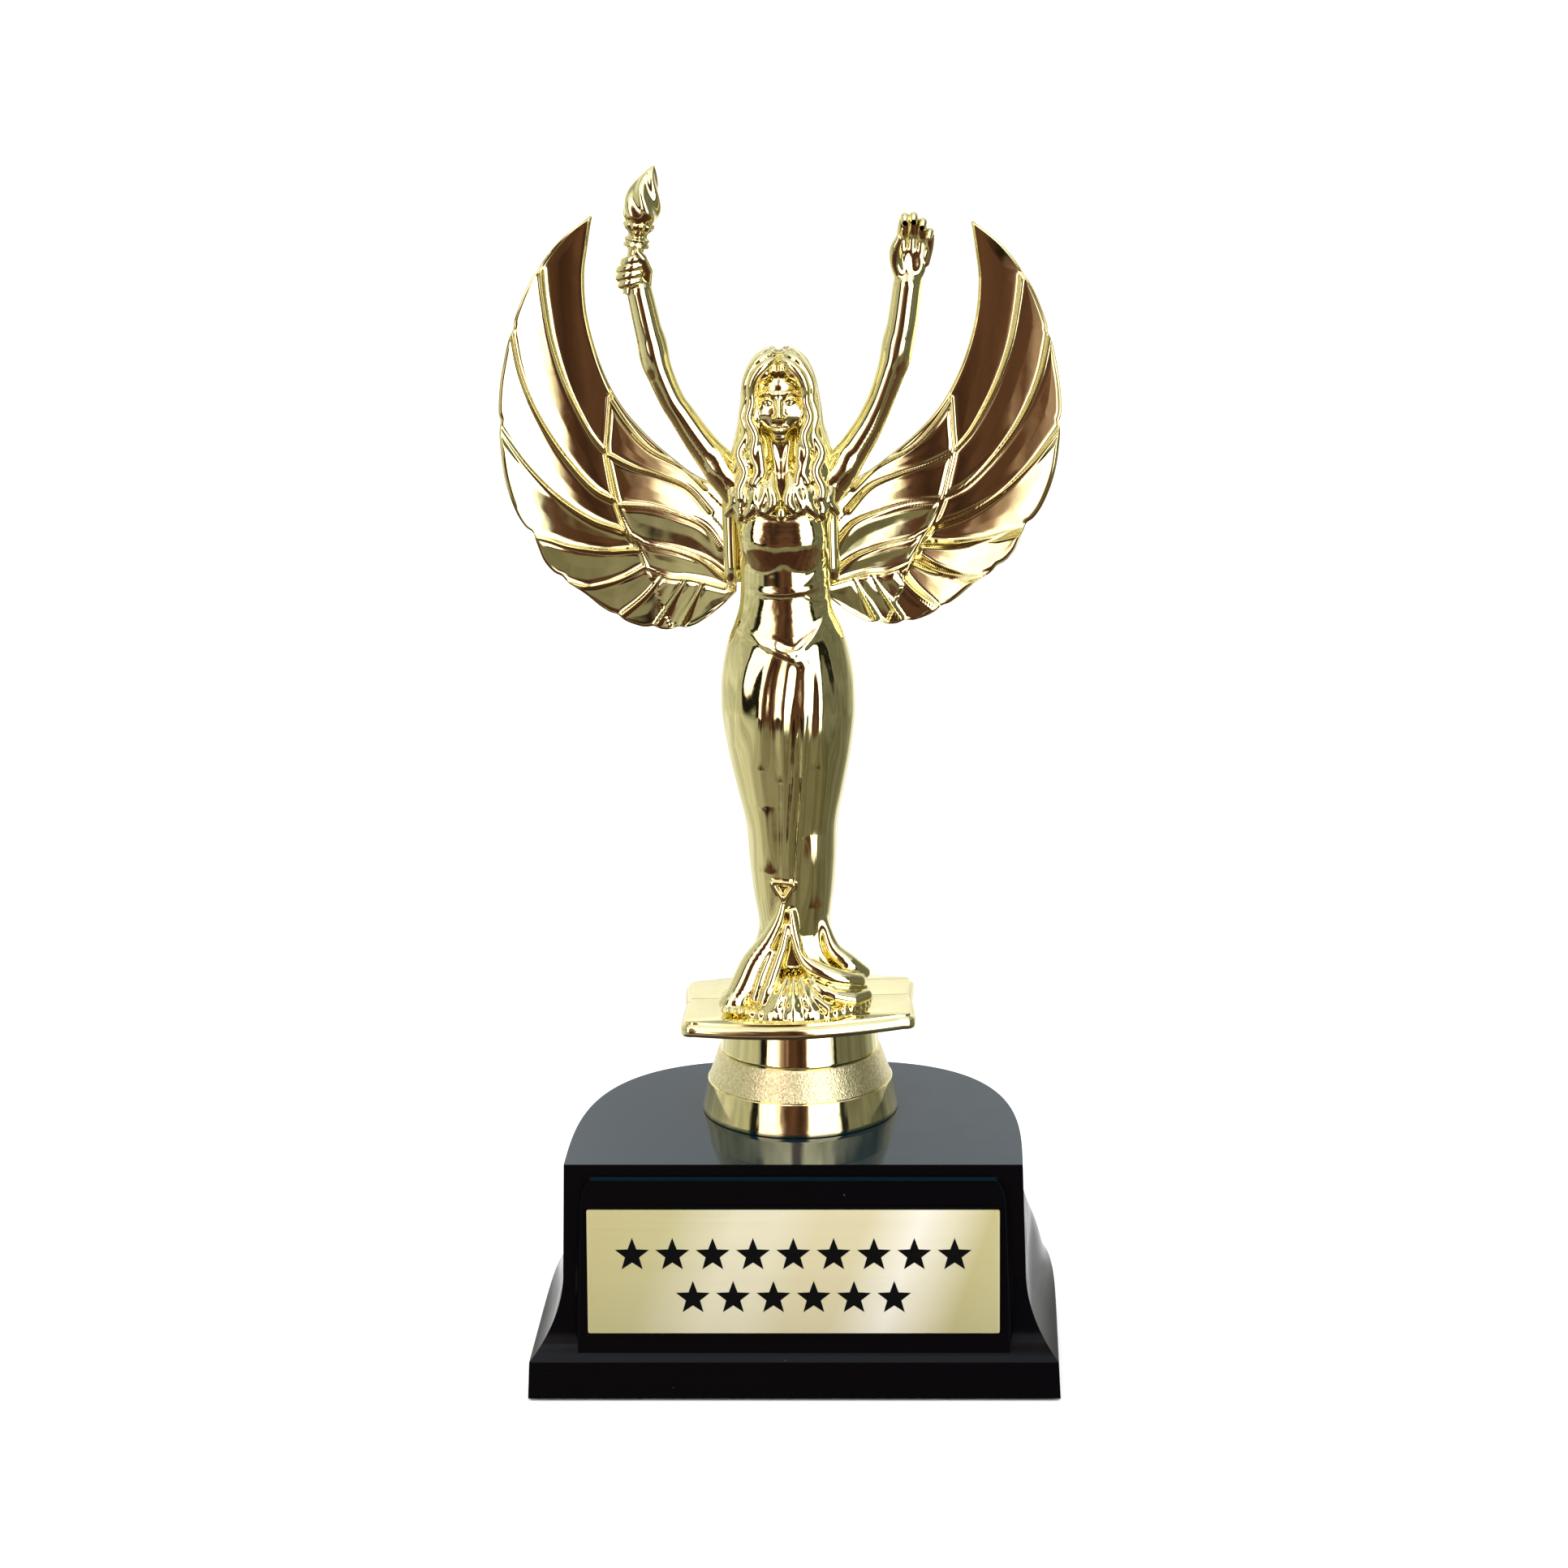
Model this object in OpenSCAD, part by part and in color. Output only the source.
// Winged torch-bearer figure trophy on a weighted black plastic base.
// Millimetres. +Z is up, -Y is the front, and the origin is under the clamping stud,
// on the surface that the felt pad stands on.

/* [Base] */
// Width of the plinth at its foot
base_w = 82.4; // [78:0.2:88]
// Height of the top deck over the table
deck_z = 36.7; // [35:0.1:40]
// Height of the plinth's upright rim
plinth_h = 6.3; // [5:0.1:8]
// Distance from the stud to the deck's straight front edge
deck_front = 26.8; // [25:0.1:30]
// Distance from the stud to the deck's rounded back
deck_back = 21.6; // [20:0.1:25]
// How far the cove flares out between deck and plinth
flare = 5.6; // [4:0.1:7]
// Wall thickness of the base moulding
base_wall = 2.4; // [2:0.1:3]

/* [Name plate] */
// Width of the engraving plate
plate_w = 63.5; // [60:0.5:65]
// Height of the engraving plate
plate_h = 19.5; // [18:0.5:20]
// Thickness of the engraving plate
plate_t = 0.5; // [0.4:0.1:1]
// Thickness of the adhesive tape behind the plate
tape_t = 0.3; // [0.2:0.1:0.6]
// How far the plate's panel leans back, in degrees
panel_lean = 7.15; // [6.5:0.05:8]

/* [Riser] */
// Height of the three-band riser
riser_h = 15.8; // [15:0.1:18]
// Radius of the riser's foot
riser_r = 15.6; // [15:0.1:17]

/* [Fastening] */
// Radius of the clamping stud
stud_r = 3.175; // [3:0.005:3.2]
// Radial clearance round the stud
stud_gap = 0.075; // [0.05:0.005:0.1]

/* [Figure] */
// Half width of the figure's platform
platform_a = 18.0; // [17:0.1:19]
// Thickness of the platform
platform_t = 2.5; // [2:0.1:3]
// How far the figure leans to its right, in degrees
lean = 1.2; // [0:0.1:1.5]
// Wall thickness of the hollow figure
figure_wall = 1.6; // [1.2:0.1:2]
// Thickness of the wings
wing_t = 1.1; // [1:0.1:1.5]
// How far the pair of wings sits towards the figure's right
wing_shift = 1.2; // [0:0.1:1.5]

/* [Hidden] */
$fn = 72;

black = [0.03, 0.03, 0.035];
gold = [0.85, 0.72, 0.38];
steel = [0.7, 0.7, 0.72];

// ---------------------------------------------------------------- base outline
base_a = base_w / 2 - flare - 0.3;   // half width of the deck
deck_power = 3.1;                    // squareness of the deck's rounded back
foot_power = 7.0;                    // and of the foot's, which is squarer
inner_power = 3.3;                   // and of the hollow inside
swell = 4.5;                         // how far the sides of the foot fill out over the plinth
swell_h = 18;                        // and how far up
outline_steps = 36;
wall_draft = 0.5;                    // how much the upright wall widens going down
cove_h = 13;                         // height of the cove's curved part
cove_r = ((flare - wall_draft) ^ 2 + cove_h ^ 2) / (2 * (flare - wall_draft));
rim_z = 0.4;                         // the moulding's rim clears the table by this much

// The D-shaped outline, grown outwards by off: a straight front and a half superellipse.
function d_outline(off, power = inner_power, side = 0) = [
    for (k = [0 : outline_steps])
        let (t = 180 * k / outline_steps, c = cos(t), s = sin(t))
        [(base_a + off) * sign(c) * abs(c) ^ (2 / power) + side * sign(c) * abs(c * s) * 2,
         -deck_front - off + (deck_front + deck_back + 2 * off) * abs(s) ^ (2 / power)]];

// How far the wall stands out from the deck's outline at height h over the plinth.
function cove_off(h) = h >= cove_h
    ? wall_draft * (deck_z - plinth_h - h) / (deck_z - plinth_h - cove_h)
    : wall_draft + cove_r - sqrt(cove_r ^ 2 - (cove_h - h) ^ 2);

cove_steps = 7;
// Squareness and swell of the outline at each level.
function level_power(off) = deck_power + (foot_power - deck_power) * min(off / flare, 1);
function level_swell(z) = swell * max(sin(180 * (z - plinth_h) / swell_h), 0) * (z < plinth_h + swell_h ? 1 : 0);
base_levels = concat(
    [[rim_z, flare + 0.3], [plinth_h, flare]],
    [for (k = [1 : cove_steps]) let (h = cove_h * k / cove_steps) [plinth_h + h, cove_off(h)]],
    [[deck_z, 0]]);

// Zigzag order of a ring's n points, from its first and last points to its middle.
function zigzag(i, n) = i % 2 == 0 ? i / 2 : n - (i + 1) / 2;

// Triangles that close a ring which doesn't lie in one plane.
function bent_end(n, start, flip) = [
    for (i = [0 : n - 3])
        let (a = start + zigzag(i, n), b = start + zigzag(i + 1, n), c = start + zigzag(i + 2, n))
        (i % 2 == 0) == flip ? [a, b, c] : [a, c, b]];

// A closed solid through rings of points, all with the same number of points, going up.
module loft(rings, bent = false) {
    n = len(rings[0]);
    m = len(rings);
    polyhedron(
        points = [for (r = rings) for (p = r) p],
        faces = concat(
            bent ? bent_end(n, 0, false) : [[for (k = [0 : n - 1]) k]],
            [for (i = [0 : m - 2]) for (k = [0 : n - 1])
                let (a = i * n + k, b = i * n + (k + 1) % n)
                each [[a, a + n, b + n], [a, b + n, b]]],
            bent ? bent_end(n, (m - 1) * n, true)
                : [[for (k = [n - 1 : -1 : 0]) (m - 1) * n + k]]),
        convexity = 6);
}

function at_z(outline, z) = [for (p = outline) [p[0], p[1], z]];

// ---------------------------------------------------------------- plate panel
panel_a = 33.5;          // half width of the panel that the plate is stuck to
panel_h = 27.3;          // its height along the slope
panel_t = 3.2;
panel_foot = [0, -31.4, 7.5];
panel_r = 2.2;           // radius of its upper corners

// Puts its children on the leaning panel: x across, y up the slope, z out of the face.
module on_panel() {
    translate(panel_foot) rotate([90 - panel_lean, 0, 0]) children();
}

function arc(cx, cy, r, a0, a1, steps = 8) = [
    for (k = [0 : steps]) let (t = a0 + (a1 - a0) * k / steps) [cx + r * cos(t), cy + r * sin(t)]];

module panel_block() {
    on_panel() translate([0, 0, -panel_t]) linear_extrude(panel_t)
        polygon(concat(
            [[-panel_a - 0.3, -1], [panel_a + 0.3, -1]],
            arc(panel_a - panel_r, panel_h - panel_r, panel_r, 0, 90),
            arc(panel_r - panel_a, panel_h - panel_r, panel_r, 90, 180)));
}

plate_up = (panel_h - plate_h) / 2 - 0.6;   // from the panel's foot to the plate's lower edge

module on_plate_seat(out, w, h, t) {
    on_panel() translate([-w / 2, plate_up + (plate_h - h) / 2, out]) cube([w, h, t]);
}

// ---------------------------------------------------------------- base parts
bosses = [[29, -19], [-29, -19], [25, 8], [-25, 8]];
boss_r = 2.8;
pilot_r = 1.3;
deck_t = 2.5;
cover_z = 0.8;
cover_t = 2;
recess_off = 3.2;
stud_hole_r = stud_r + stud_gap;

module base_shell() {
    color(black) difference() {
        union() {
            loft([for (l = base_levels) at_z(d_outline(l[1], level_power(l[1]), level_swell(l[0])), l[0])]);
            panel_block();
        }
        difference() {
            translate([0, 0, rim_z - 1]) linear_extrude(deck_z - deck_t - rim_z + 1)
                polygon(d_outline(-base_wall));
            for (b = bosses) translate([b[0], b[1], cover_z + cover_t]) cylinder(h = 40, r = boss_r);
        }
        translate([0, 0, rim_z - 1]) linear_extrude(cover_z + cover_t - rim_z + 1)
            polygon(d_outline(recess_off));
        for (b = bosses) translate([b[0], b[1], 0]) cylinder(h = 14, r = pilot_r);
        translate([0, 0, deck_z - 10]) cylinder(h = 20, r = stud_hole_r);
    }
}

weight_a = 21;
weight_z = cover_z + cover_t;
weight_h = 18;
weight_bore_r = 11;

module base_weight() {
    color([0.35, 0.35, 0.37]) difference() {
        translate([-weight_a, -21, weight_z]) cube([2 * weight_a, 36, weight_h]);
        translate([0, 0, weight_z - 1]) cylinder(h = weight_h + 2, r = weight_bore_r);
    }
}

screw_r = 1.25;
screw_head_r = 2.6;
screw_head_h = 1.4;

module bottom_cover() {
    color([0.08, 0.08, 0.08]) difference() {
        translate([0, 0, cover_z]) linear_extrude(cover_t) polygon(d_outline(recess_off - 0.3));
        for (b = bosses) translate([b[0], b[1], 0]) {
            cylinder(h = 5, r = pilot_r + 0.1);
            translate([0, 0, cover_z - 0.01])
                cylinder(h = screw_head_h + 0.05, r1 = screw_head_r + 0.1, r2 = pilot_r + 0.1);
        }
    }
}

module cover_screws() {
    color(steel) for (b = bosses) translate([b[0], b[1], cover_z]) rotate_extrude()
        polygon([[0, 0], [screw_head_r, 0], [screw_r, screw_head_h], [screw_r, 9],
                 [0.3, 11], [0, 11]]);
}

module felt_pad() {
    color([0.02, 0.02, 0.02]) linear_extrude(cover_z) polygon(d_outline(recess_off - 0.5));
}

module plate_tape() {
    color([0.9, 0.9, 0.85]) on_plate_seat(0, plate_w - 1.5, plate_h - 1.5, tape_t);
}

module name_plate() {
    color(gold) on_plate_seat(tape_t, plate_w, plate_h, plate_t);
}

// ---------------------------------------------------------------- fastening
washer_t = 1.2;
lock_t = 1.6;
nut_h = 5.6;
nut_flats = 11.1;
nut_top = deck_z - deck_t - washer_t - lock_t;
insert_r = 4;
insert_h = 9;
foot_z = deck_z + riser_h;              // underside of the platform
platform_z = foot_z + platform_t;       // top of the platform

module ring_on_axis(z, h, r_out, r_in) {
    translate([0, 0, z]) difference() {
        cylinder(h = h, r = r_out);
        translate([0, 0, -1]) cylinder(h = h + 2, r = r_in);
    }
}

module flat_washer() {
    color(steel) ring_on_axis(deck_z - deck_t - washer_t, washer_t, 8, stud_hole_r);
}

module lock_washer() {
    color(steel) ring_on_axis(nut_top, lock_t, 5.5, stud_r + 0.05);
}

module hex_nut() {
    color(steel) difference() {
        translate([0, 0, nut_top - nut_h]) cylinder(h = nut_h, r = nut_flats / 2 / cos(30), $fn = 6);
        translate([0, 0, nut_top - nut_h - 1]) cylinder(h = nut_h + 2, r = stud_r);
    }
}

module stud() {
    color(steel) translate([0, 0, nut_top - nut_h - 2]) cylinder(h = foot_z + insert_h - 1 - (nut_top - nut_h - 2), r = stud_r);
}

module figure_insert() {
    color([0.8, 0.65, 0.3]) ring_on_axis(foot_z, insert_h, insert_r, stud_r);
}

// ---------------------------------------------------------------- riser
riser_wall = 1.8;

module riser() {
    color(gold) translate([0, 0, deck_z]) rotate_extrude() polygon([
        [riser_r, 0], [riser_r, 0.4], [riser_r - 0.9, 5.2], [riser_r - 1.2, 5.4],
        [riser_r - 1.1, 5.6], [riser_r - 2.7, 9.9], [riser_r - 3.2, 10.1], [riser_r - 3.0, 10.4],
        [riser_r - 4.6, riser_h], [stud_hole_r, riser_h], [stud_hole_r, 0],
        [stud_hole_r + riser_wall, 0], [stud_hole_r + riser_wall, riser_h - 2.2],
        [riser_r - 4.6 - riser_wall, riser_h - 2.2], [riser_r - riser_wall, 0]]);
}

// ---------------------------------------------------------------- figure
// Smooth curve through the rows of a table, as steps rows between each pair.
function spline_row(t, i, u) = let (
        a = t[max(i - 1, 0)], b = t[i], c = t[i + 1], d = t[min(i + 2, len(t) - 1)])
    0.5 * ((2 * b) + (c - a) * u + (2 * a - 5 * b + 4 * c - d) * u ^ 2
           + (3 * b - a - 3 * c + d) * u ^ 3);
function spline(t, steps) = concat(
    [for (i = [0 : len(t) - 2]) for (k = [0 : steps - 1]) spline_row(t, i, k / steps)],
    [t[len(t) - 1]]);

// Figure outline: height, half width, depth in front of the seam, depth behind it.
body_table = [
    [54.6, 12.4, 12.6, 8.8], [57.5, 12.0, 12.0, 8.4], [61.0, 8.6, 8.0, 6.4],
    [65.5, 5.6, 5.2, 4.4], [73.0, 6.4, 5.6, 4.8], [80.0, 7.0, 6.0, 5.0],
    [86.0, 7.6, 6.2, 5.4], [96.0, 9.5, 6.6, 6.4], [104.0, 10.6, 6.8, 7.2],
    [111.0, 9.8, 6.2, 6.4], [118.5, 7.1, 5.4, 4.9], [125.0, 7.0, 6.8, 4.9],
    [132.5, 7.9, 7.2, 4.9], [138.5, 8.5, 5.8, 4.9], [143.0, 7.6, 5.6, 5.4],
    [148.0, 6.4, 6.4, 6.0], [152.5, 5.9, 6.0, 5.6], [156.4, 4.6, 4.2, 4.2],
    [158.6, 1.6, 1.4, 1.4]];
body_sides = 24;
back_pad = 4.9;       // depth of the flat seat on the back that the wing roots sit on
pad_a = 6.2;          // its half width
pad_z = [119, 137];   // its lower and upper edges

function half_ring(s, front, wall) = let (
        a = s[1] - wall, b = (front ? s[2] : s[3]) - wall, dir = front ? -1 : 1)
    [for (k = [0 : body_sides / 2]) let (t = 360 * k / body_sides)
        [a * cos(t), dir * b * sin(t), s[0]]];
function full_ring(s, wall) = [for (k = [0 : body_sides - 1]) let (t = 360 * k / body_sides)
    [(s[1] - wall) * cos(t), ((sin(t) < 0 ? s[2] : s[3]) - wall) * sin(t), s[0]]];

// The figure leans a little about its foot.
module leaning() {
    translate([0, 0, platform_z]) rotate([0, -lean, 0]) translate([0, 0, -platform_z]) children();
}

body_rows = spline(body_table, 2);
cavity_rows = [for (r = body_rows) if (r[0] > 69 && r[0] < 154) r];

function backwards(v) = [for (i = [len(v) - 1 : -1 : 0]) v[i]];

// One half of the body outline, front or rear, as a solid with its flat face on the seam.
module half_body(front) {
    loft([for (r = body_rows)
        let (ring = half_ring(r, front, 0)) front ? backwards(ring) : ring]);
}

module whole_body() {
    loft([for (r = body_rows) full_ring(r, 0)]);
}

module body_cavity() {
    loft([for (r = cavity_rows) full_ring(r, figure_wall)]);
}

front_corner_y = 11.2;
rear_corner_y = 9.8;
platform_bow = 4;     // how far its front and rear edges bow out between the corners

module half_platform(front) {
    dir = front ? -1 : 1;
    corner_y = front ? front_corner_y : rear_corner_y;
    edge = [for (k = [0 : 20]) let (u = 2 * k / 20 - 1)
        [platform_a * u, dir * (corner_y + platform_bow * (1 - u ^ 2))]];
    translate([0, 0, foot_z]) linear_extrude(platform_t)
        polygon(concat([[platform_a, 0], [-platform_a, 0]], edge));
}

// Peg positions of the wings: distance from the middle, height.
wing_pegs = [[3.4, 122], [3.4, 133]];
peg_r = 1;
peg_l = 1.3;
peg_hole = 3;

module figure_half(front) {
    difference() {
        union() {
            half_platform(front);
            leaning() half_body(front);
            if (!front) leaning() translate([-pad_a, 0, pad_z[0]])
                cube([2 * pad_a, back_pad, pad_z[1] - pad_z[0]]);
        }
        leaning() body_cavity();
        translate([0, 0, foot_z - 1]) cylinder(h = insert_h + 1.2, r = insert_r);
        if (!front) leaning() for (side = [-1, 1]) for (p = wing_pegs)
            translate([side * p[0] - wing_shift, back_pad - peg_hole, p[1]]) rotate([-90, 0, 0])
                cylinder(h = peg_hole + 1, r = peg_r + 0.05);
    }
}

module figure_front() {
    color(gold) figure_half(true);
}

module figure_rear() {
    color(gold) figure_half(false);
}

// ---------------------------------------------------------------- arms
// A limb: rows of x, y, z, half width and half depth along its centre line.
limb_sides = 12;
function unit(v) = v / norm(v);
function limb_ring(t, i) = let (
        d = unit([for (j = [0 : 2]) t[min(i + 1, len(t) - 1)][j] - t[max(i - 1, 0)][j]]),
        side = unit(cross(d, [0, 1, 0])), out = cross(side, d))
    [for (k = [0 : limb_sides - 1]) let (a = -360 * k / limb_sides)
        [t[i][0], t[i][1], t[i][2]] + t[i][3] * cos(a) * side + t[i][4] * sin(a) * out];

module limb(table) {
    rows = spline(table, 2);
    loft([for (i = [0 : len(rows) - 1]) limb_ring(rows, i)]);
}

right_arm_table = [
    [-6.4, -0.4, 137.5, 2.6, 2.6], [-9.6, -0.5, 140.6, 2.3, 2.3], [-13.2, -0.7, 145.2, 1.9, 1.9],
    [-17.4, -1.0, 151.4, 1.8, 1.8], [-19.2, -1.4, 157.2, 2.1, 2.0], [-20.4, -1.8, 162.6, 1.8, 1.7],
    [-21.3, -2.1, 166.6, 1.5, 1.4], [-22.0, -2.4, 169.2, 2.5, 2.0], [-22.3, -2.5, 171.6, 2.9, 2.3],
    [-22.3, -2.5, 174.2, 2.4, 1.9]];
left_arm_table = [
    [6.4, -0.4, 137.5, 2.6, 2.6], [9.0, -0.5, 140.8, 2.3, 2.3], [11.8, -0.7, 145.4, 2.0, 2.0],
    [15.2, -1.0, 151.2, 1.9, 1.9], [17.1, -1.4, 156.8, 2.2, 2.1], [18.3, -1.8, 162.4, 1.9, 1.8],
    [18.9, -2.1, 167.2, 1.6, 1.5], [19.7, -2.4, 171.0, 2.6, 1.3], [20.2, -2.6, 174.4, 3.1, 1.2],
    [20.3, -3.0, 177.0, 2.7, 1.0], [20.2, -3.3, 179.0, 1.6, 0.7]];

torch_foot = [-22.7, -2.5, 168.3];
torch_tilt = 10;      // leans towards the head, in degrees

module on_torch() {
    translate(torch_foot) rotate([0, torch_tilt, 0]) children();
}

grip_r = 1.1;

module right_arm() {
    color(gold) leaning() difference() {
        limb(right_arm_table);
        whole_body();
        on_torch() translate([0, 0, -3]) cylinder(h = 12, r = grip_r);
    }
}

module left_arm() {
    color(gold) leaning() difference() {
        limb(left_arm_table);
        whole_body();
    }
}

// The torch: a handle through the fist, a collar, and a flame.
module torch() {
    color(gold) leaning() on_torch() rotate_extrude() polygon([
        [0, -0.6], [grip_r, -0.6], [grip_r, 6.4], [1.9, 6.8], [2.1, 8.0], [1.6, 8.8], [2.2, 9.8],
        [2.6, 11.2], [2.6, 12.6], [2.3, 14.4], [1.5, 16.6], [0.6, 18.7], [0, 19]]);
}

// ---------------------------------------------------------------- wings
// Edges of a wing from root to tip: x, z.
wing_inner = [[7.8, 136.4], [11.9, 137.3], [16.0, 139.9], [20.8, 143.9], [24.8, 148.6],
              [27.7, 154.4], [29.6, 161.5], [30.2, 169.0], [29.4, 176.6]];
wing_outer = [[7.8, 120.0], [13.2, 114.6], [20.5, 113.6], [29.5, 118.3], [38.2, 127.2],
              [42.9, 139.5], [43.0, 152.5], [38.5, 166.4], [29.8, 177.4]];
wing_across = 8;

// Depth of the wing's front face: dished towards the front, with the tip coming forward.
dish = 3.4;        // how far the middle of a wing bulges to the rear
tip_forward = 3.6; // how far its tip curls to the front
lower_forward = 1.3; // and its lower edge
function wing_y(x, z) = back_pad + dish * sin(180 * (x - 6) / 42)
    - tip_forward * (max(z - 146, 0) / 32) ^ 2
    - lower_forward * (max(138 - z, 0) / 25) ^ 2 * max(min((x - 9) / 11, 1), 0);

function wing_grid(t) = let (inner = spline(wing_inner, 2), outer = spline(wing_outer, 2))
    [for (i = [0 : len(inner) - 1]) concat(
        [for (k = [0 : wing_across]) let (p = inner[i] + (outer[i] - inner[i]) * k / wing_across)
            [p[0], wing_y(p[0], p[1]), p[1]]],
        [for (k = [wing_across : -1 : 0]) let (p = inner[i] + (outer[i] - inner[i]) * k / wing_across)
            [p[0], wing_y(p[0], p[1]) + t, p[1]]])];

root_a = 9.6;      // the root reaches this far from the middle
root_t = 1.6;
root_bar = 2;      // width of the thicker bar along the root's outer edge

// A wing with its root, which has two pegs that press into the figure's back.
module wing() {
    loft(wing_grid(wing_t), bent = true);
    translate([wing_shift + 0.2, back_pad, pad_z[0] + 0.6])
        cube([root_a - wing_shift - 0.2, root_t, pad_z[1] - pad_z[0] - 1.2]);
    translate([root_a - root_bar, back_pad - 1.3, pad_z[0] + 0.6])
        cube([root_bar, root_t + 1.3, pad_z[1] - pad_z[0] - 1.2]);
    for (p = wing_pegs) translate([p[0], back_pad - peg_l, p[1]]) rotate([-90, 0, 0])
        cylinder(h = peg_l + 0.5, r = peg_r);
}

module right_wing() {
    color(gold) leaning() translate([-wing_shift, 0, 0]) mirror([1, 0, 0]) wing();
}

module left_wing() {
    color(gold) leaning() translate([-wing_shift, 0, 0]) wing();
}

base_shell();
base_weight();
bottom_cover();
cover_screws();
felt_pad();
plate_tape();
name_plate();
flat_washer();
lock_washer();
hex_nut();
stud();
riser();
figure_insert();
figure_front();
figure_rear();
right_arm();
left_arm();
torch();
right_wing();
left_wing();
